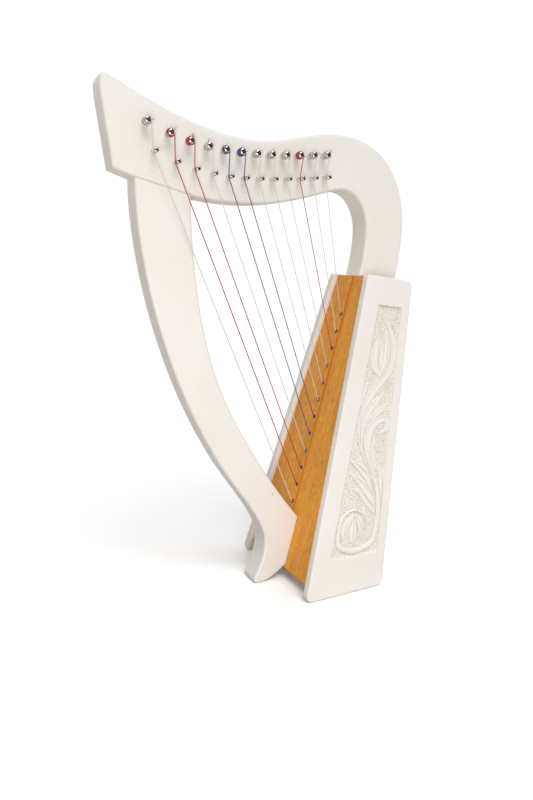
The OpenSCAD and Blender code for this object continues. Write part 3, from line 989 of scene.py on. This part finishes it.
class HARP_OT_carving(bpy.types.Operator):
    """Carve the leaf scroll and punch its ground in both side panels"""

    bl_idname = "harp.carving"
    bl_label = "Carving"

    def execute(self, context):
        sizes = context.scene.harp_wood
        for side, outward in SIDES:
            build_carving(f"side_panel_{side}", f"carving_{side}", outward, sizes)
        return {"FINISHED"}


class HARP_OT_soundboard(bpy.types.Operator):
    """Finish the soundboard and the strip under the eyelets"""

    bl_idname = "harp.soundboard"
    bl_label = "Soundboard"

    def execute(self, context):
        eased_copy("soundboard", "soundboard_panel", 0, "honey_wood")
        eased_copy("string_strip", "eyelet_strip", 0.45 * MM, "strip_wood", slot="honey_wood")
        return {"FINISHED"}


class HARP_OT_inner_woodwork(bpy.types.Operator):
    """Finish the back, blocks, liners, rib, dowels and screws"""

    bl_idname = "harp.inner_woodwork"
    bl_label = "Back and Inner Woodwork"

    def execute(self, context):
        width = context.scene.harp_wood.inner_round
        for node in ("back_panel", "inner_rib", "top_block", "base_board", "heel_block",
                     "soundboard_liners", "back_liners", "neck_dowels", "pillar_dowels"):
            eased_copy(node, f"{node}_piece", width, "bare_wood")
        eased_copy("pillar_screws", "pillar_screw_pair", 0.1 * MM, "nickel")
        return {"FINISHED"}


def fitting_template(name, profile, finish):
    made = add_object(name, lathe(name, profile))
    made.data.materials.append(finish_of(finish))
    return made


def set_out(name, spots, template, way, nodes):
    """One piece made of a fitting repeated at each spot, all pointing one way."""
    mesh = bpy.data.meshes.new(name)
    mesh.from_pydata([tuple(s) for s in spots], [], [])
    made = grow(add_object(name, mesh), fitting_tree, Fitting=template,
                Turn=facing(way).to_euler(), Material=template.data.materials[0])
    bpy.data.objects.remove(template)
    shade(made.data, 38.0)
    return settle(made, HARP, "nickel", *nodes)


def eyelet_spots():
    """Where each eyelet's rim meets its strip, and the way out of the board."""
    lean = board_lean()
    out = Vector((-math.cos(lean), 0, math.sin(lean)))
    up = Vector((math.sin(lean), 0, math.cos(lean)))
    spots = []
    for points in islands("eyelets"):
        rise = points @ np.array(up)
        front = (points @ np.array(out)).max()
        spots.append(out * front + up * middle(rise))
    return spots, out


class HARP_OT_eyelets(bpy.types.Operator):
    """Set a rolled eyelet in the strip for each string"""

    bl_idname = "harp.eyelets"
    bl_label = "Eyelets"

    def execute(self, context):
        sizes = context.scene.harp_fittings
        spots, out = eyelet_spots()
        bore, rim, roll = sizes.eyelet_bore, sizes.eyelet_rim, 0.6 * MM
        barrel = rim - 1.0 * MM
        centre = (bore + rim) / 2
        arc = [math.radians(a) for a in range(180, -1, -20)]
        profile = [(barrel - 0.05 * MM, -9 * MM), (bore, -9 * MM)]
        profile += [(centre + (rim - bore) / 2 * math.cos(a), roll * (math.sin(a) - 1))
                    for a in arc]
        profile += [(barrel, -roll)]
        template = fitting_template("eyelet_template", profile, "eyelet_nickel")
        set_out("eyelet_row", spots, template, out, ["eyelets"])
        return {"FINISHED"}


class HARP_OT_bridge_pins(bpy.types.Operator):
    """Set a grooved bridge pin in the neck for each string"""

    bl_idname = "harp.bridge_pins"
    bl_label = "Bridge Pins"

    def execute(self, context):
        sizes = context.scene.harp_fittings
        low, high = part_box("bridge_pins")
        r, groove, back = sizes.bridge_radius, sizes.groove_radius, high.y - low.y
        tip, half_groove = 1.0 * MM, 1.1 * MM
        profile = [(0, 0)]
        for degrees in range(10, 91, 16):
            a = math.radians(degrees)
            profile.append((r - tip + tip * math.sin(a), -tip * (1 - math.cos(a))))
        for k in range(-4, 5):
            t = k / 4
            profile.append((groove + (r - groove) * min(1, t * t),
                            low.y - STRING_PLANE - t * half_groove))
        profile += [(r, -back), (0, -back)]
        template = fitting_template("bridge_pin_template", profile, "nickel")
        set_out("bridge_pin_row", bridge_tips(), template, (0, -1, 0), ["bridge_pins"])
        return {"FINISHED"}


def bridge_tips():
    """The middle of each bridge pin's tip."""
    return [Vector((middle(pin[:, 0]), pin[:, 1].min(), middle(pin[:, 2])))
            for pin in islands("bridge_pins")]


class HARP_OT_tuning_pins(bpy.types.Operator):
    """Turn and plate the tuning pins, with their square key ends"""

    bl_idname = "harp.tuning_pins"
    bl_label = "Tuning Pins"

    def execute(self, context):
        for number in range(1, len(PINS) + 1):
            pin = f"pin_{number:02d}"
            eased_copy(f"tuning_{pin}", pin, 0.12 * MM, "nickel", body=pin, segments=2)
        return {"FINISHED"}


def string_radius(index, sizes):
    return (sizes.bass + (sizes.treble - sizes.bass) * index / (len(PINS) - 1)) / 2


def slot_of(node):
    """The nylon that the record gives a string or its winding."""
    return next(r["material_slot"] for r in frame["record"]["subparts"] if r["node"] == node)


def pin_axis(index):
    place = PINS[index]["pos_m"]
    return Vector((place[0], place[2]))


def last_turn_plane(index):
    """The plane of a string's last turn, from the solid string's own box."""
    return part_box(f"string_{index + 1:02d}")[0].y


class HARP_OT_strings(bpy.types.Operator):
    """Run each string from its knot, through its eyelet and past its bridge pin, to its pin"""

    bl_idname = "harp.strings"
    bl_label = "Strings"

    def execute(self, context):
        sizes, fittings = context.scene.harp_strings, context.scene.harp_fittings
        mouths, out = eyelet_spots()
        for index, (mouth, tip) in enumerate(zip(mouths, bridge_tips())):
            bridge = Vector((tip.x, tip.z))
            radius = string_radius(index, sizes)
            name = f"string_{index + 1:02d}"
            points = self.route(index, radius, mouth, out, bridge, sizes, fittings)
            slot = slot_of(name)
            made = grow(line_object(f"{name}_piece", points), cord_tree, Radius=radius,
                        Sides=sizes.sides, Material=finish_of(slot))
            shade(made.data, 60.0)
            settle(made, HARP, slot, name)
            self.wind(index, radius, sizes, fittings)
        return {"FINISHED"}

    @staticmethod
    def route(index, radius, mouth, out, bridge, sizes, fittings):
        """Points along a string: knot, eyelet, bridge pin, and one turn on its pin."""
        entry = mouth + out * radius
        behind = mouth - out * KNOT_DEPTH
        axis, plane = pin_axis(index), last_turn_plane(index) + radius * 1.04
        coil = fittings.pin_radius + SNUG + 1.04 * radius
        entry2 = Vector((entry.x, entry.z))
        pull = ((axis + Vector((coil, 0)) - bridge).normalized()
                + (entry2 - bridge).normalized()).normalized()
        corner = bridge - pull * (fittings.groove_radius + radius + SNUG)
        reach = axis - corner
        angle = math.atan2(reach.y, reach.x) - math.asin(coil / reach.length)
        run = math.sqrt(reach.length_squared - coil * coil)
        leave = corner + Vector((math.cos(angle), math.sin(angle))) * run
        bend = Vector((corner.x, STRING_PLANE, corner.y))
        off = Vector((leave.x, plane, leave.y))
        before = bend + (entry - bend).normalized() * 1.4 * MM
        after = bend + (off - bend).normalized() * 1.4 * MM
        points = knot_points(behind, out, sizes.knot / 2.4)
        points += [behind + out * 1.5 * MM, entry - out * 2 * radius]
        points += bent(entry - out * radius, entry + out * 0.2 * radius,
                       entry + (bend - entry).normalized() * 2 * radius, 5)
        points += bent(before, bend, after, 7)
        start = math.atan2(leave.y - axis.y, leave.x - axis.x)
        for k in range(41):
            a = start + 2 * math.pi * k / 40 * 0.985
            spot = axis + Vector((math.cos(a), math.sin(a))) * coil
            points.append(Vector((spot.x, plane, spot.y)))
        return points

    @staticmethod
    def wind(index, radius, sizes, fittings):
        """The turns on a pin and the tail that goes through its cross hole."""
        number = index + 1
        wrap = f"string_wrap_{number:02d}"
        slot = slot_of(wrap)
        # Painted shade and reflection: the clear turns on a pin take the darker, warmer copy of the nylon.
        coat = finish_of(slot.replace("clear_nylon", "wound_nylon"))
        low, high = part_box(wrap)
        axis = pin_axis(index)
        first = last_turn_plane(index) + 3.2 * radius
        pitch = 2 * radius + 0.04 * MM
        turn = math.radians(37 * index)
        aim = Vector((math.cos(turn), 0, math.sin(turn)))
        centre = Vector((axis.x, TAIL_PLANE, axis.y))
        reach = fittings.pin_radius
        tail = [centre - aim * (reach + 1.2 * MM), centre - aim * reach, centre,
                centre + aim * reach,
                centre + aim * (reach + 1.6 * MM) + Vector((0, -0.3, 0.4)) * MM,
                centre + aim * (reach + 2.6 * MM) + Vector((0, -0.8, 1.0)) * MM]
        if not low.y < TAIL_PLANE < high.y:
            raise RuntimeError(f"{wrap} does not reach its tail")
        tube = line_object("tail", tail)
        tube = grow(tube, cord_tree, Radius=radius, Sides=sizes.sides, Material=coat)
        to_coil = Matrix.Translation((axis.x, first, axis.y)) @ Matrix.Rotation(
            math.radians(-90), 4, "X")
        tube.data.transform(to_coil.inverted())
        made = grow(tube, winding_tree, Turns=float(sizes.turns), Radius=radius,
                    Coil=fittings.pin_radius + radius + 0.02 * MM,
                    Height=pitch * sizes.turns, Sides=sizes.sides, Material=coat)
        made.name = f"winding_{number:02d}"
        made.data.transform(to_coil)
        shade(made.data, 60.0)
        settle(made, f"pin_{number:02d}", slot, wrap)


def knot_points(centre, out, size):
    """A three-lobed knot, open on the side that faces the board."""
    up = out.cross(Vector((0, 1, 0)))
    points = []
    for k in range(40):
        t = 2 * math.pi * k / 40
        side = math.sin(t) + 2 * math.sin(2 * t)
        rise = math.cos(t) - 2 * math.cos(2 * t)
        points.append(centre + Vector((0, 1, 0)) * side * size + up * rise * size
                      - out * math.sin(3 * t) * size)
    return points


def bent(a, b, c, steps):
    """A bend from a to c drawn towards b."""
    shares = (k / (steps - 1) for k in range(steps))
    return [a.lerp(b, t).lerp(b.lerp(c, t), t) for t in shares]


class HARP_OT_stage(bpy.types.Operator):
    """Lay the floor, light it softly and place the camera"""

    bl_idname = "harp.stage"
    bl_label = "Stage"

    def execute(self, context):
        stage = context.scene.harp_stage
        corners = [(-30, -30, 0), (30, -30, 0), (30, 30, 0), (-30, 30, 0)]
        floor = add_object("floor", mesh_of("floor", corners, [[0, 1, 2, 3]]))
        cover = Finish("floor_cover", roughness=0.9, specular_ior_level=0.0)
        seen = cover.node("ShaderNodeLightPath", out="Is Camera Ray")  # greyer to the harp
        cover.feed("Base Color", cover.blend(seen, (0.60, 0.565, 0.53), (1.0, 1.0, 1.0)))
        cover.feed("Emission Color", cover.blend(seen, (0.0, 0.0, 0.0), (0.05, 0.05, 0.05)))
        cover.feed("Emission Strength", 1.0)
        floor.data.materials.append(cover.material)
        self.light_room(context.scene)
        self.lamp("key", (-0.05, -0.85, 1.15), 40.0, 1.65)
        self.lamp("rear", (0.25, 0.95, 0.55), 60.0, 0.9)
        self.fill("fill", (-0.48, -0.82, 0.22), 0.4, 2.7)
        self.card("card", (0.62, -1.05, 0.25), 0.9)
        self.camera(context.scene, stage)
        view = context.scene.view_settings
        view.view_transform, view.look, view.exposure, view.gamma = "Standard", "None", 0.0, 1.0
        return {"FINISHED"}

    @staticmethod
    def lamp(name, way, spread, power):
        data = bpy.data.lights.new(name, "SUN")
        data.angle, data.energy = math.radians(spread), power
        add_object(name, data).rotation_euler = facing(way).to_euler()

    @staticmethod
    def fill(name, place, size, power):
        data = bpy.data.lights.new(name, "AREA")
        data.shape, data.size, data.energy = "DISK", size, power
        made = add_object(name, data)
        made.location = place
        made.rotation_euler = facing(Vector(place) - Vector((-0.1, 0, 0.3))).to_euler()

    @staticmethod
    def card(name, place, size):
        """A dark card that only the bright metal sees."""
        h = size / 2
        corners = [(-h, -h, 0), (h, -h, 0), (h, h, 0), (-h, h, 0)]
        made = add_object(name, mesh_of(name, corners, [[0, 1, 2, 3]]))
        turn = facing(Vector((0, 0, 0.35)) - Vector(place)).to_matrix().to_4x4()
        made.data.transform(Matrix.Translation(place) @ turn)
        made.data.materials.append(finish_of("dark_cloth"))
        made.visible_camera = made.visible_diffuse = made.visible_shadow = False

    @staticmethod
    def light_room(scene):
        """A white room, dimmer on the left; in gloss its rear and its roof are dark."""
        world = scene.world = bpy.data.worlds.new("studio")
        world.use_nodes = True
        tree = world.node_tree
        tree.nodes.clear()
        way = tree_node(tree, "ShaderNodeTexCoord").outputs["Generated"]
        path = tree_node(tree, "ShaderNodeLightPath").outputs

        def toward(aim):
            return tree_node(tree, "ShaderNodeVectorMath", {"operation": "DOT_PRODUCT"},
                             {0: way, 1: aim}).outputs["Value"]

        def fade(value, low, high, first, last, shape="SMOOTHSTEP"):
            return tree_node(tree, "ShaderNodeMapRange", {"interpolation_type": shape},
                             {0: value, 1: low, 2: high, 3: first, 4: last}).outputs[0]

        def swap(ray, other, value):
            return tree_node(tree, "ShaderNodeMix", None,
                             {0: path[ray], 2: other, 3: value}).outputs[0]

        soft = fade(toward((0.74, -0.40, 0.54)), -0.9, 1.0, 0.10, 0.62, "LINEAR")
        rear = fade(toward((-0.42, -0.88, 0.2)), 0.35, 0.8, 1.0, 0.06)
        roof = fade(toward((0.0, -0.2, 0.98)), 0.30, 0.75, 1.0, 0.10)
        dark = tree_node(tree, "ShaderNodeMath", {"operation": "MULTIPLY"}, {0: rear, 1: roof})
        light = swap("Is Camera Ray", swap("Is Glossy Ray", soft, dark.outputs[0]), 1.05)
        back = tree_node(tree, "ShaderNodeBackground", None, {0: (1, 1, 1, 1), 1: light})
        out = tree.nodes.new("ShaderNodeOutputWorld")
        tree.links.new(back.outputs[0], out.inputs[0])

    @staticmethod
    def camera(scene, stage):
        data = bpy.data.cameras.new("camera")
        data.lens, data.sensor_width = stage.lens, 36.0
        data.clip_start, data.clip_end = 0.01, 100.0
        made = add_object("camera", data)
        a, e, roll = (math.radians(v) for v in stage.turn)
        back = Vector((math.sin(a) * math.cos(e), -math.cos(a) * math.cos(e), math.sin(e)))
        right = (-back).cross(Vector((0, 0, 1))).normalized()
        up = right.cross(-back)
        side = right * math.cos(roll) + up * math.sin(roll)
        top = up * math.cos(roll) - right * math.sin(roll)
        turned = Matrix((side, top, back)).transposed().to_4x4()
        made.matrix_world = Matrix.Translation(Vector(stage.place)) @ turned
        scene.camera = made


OPERATORS = [
    HARP_OT_boards,
    HARP_OT_side_panels,
    HARP_OT_carving,
    HARP_OT_soundboard,
    HARP_OT_inner_woodwork,
    HARP_OT_eyelets,
    HARP_OT_bridge_pins,
    HARP_OT_tuning_pins,
    HARP_OT_strings,
    HARP_OT_stage,
]
GROUPS = {
    "harp_wood": HarpWoodSizes,
    "harp_fittings": HarpFittingSizes,
    "harp_strings": HarpStringSizes,
    "harp_colours": HarpColours,
    "harp_stage": HarpStageSizes,
}


class HARP_PT_panel(bpy.types.Panel):
    """Steps that build the harp, in order"""

    bl_label = "Lap Harp"
    bl_idname = "HARP_PT_panel"
    bl_space_type = "VIEW_3D"
    bl_region_type = "UI"
    bl_category = "Harp"

    def draw(self, context):
        for operator in OPERATORS:
            self.layout.operator(operator.bl_idname)
        for name, group in GROUPS.items():
            box = self.layout.box()
            for prop in group.__annotations__:
                box.prop(getattr(context.scene, name), prop)


def register():
    for group in (*GROUPS.values(), *OPERATORS, HARP_PT_panel):
        bpy.utils.register_class(group)
    for name, group in GROUPS.items():
        setattr(bpy.types.Scene, name, PointerProperty(type=group))


def unregister():
    for name in GROUPS:
        delattr(bpy.types.Scene, name)
    for group in (HARP_PT_panel, *OPERATORS[::-1], *list(GROUPS.values())[::-1]):
        bpy.utils.unregister_class(group)


def main():
    register()
    for operator in OPERATORS:
        family, step = operator.bl_idname.split(".")
        if getattr(getattr(bpy.ops, family), step)() != {"FINISHED"}:
            raise RuntimeError(f"{operator.bl_label} did not finish")


if __name__ == "__main__":
    main()
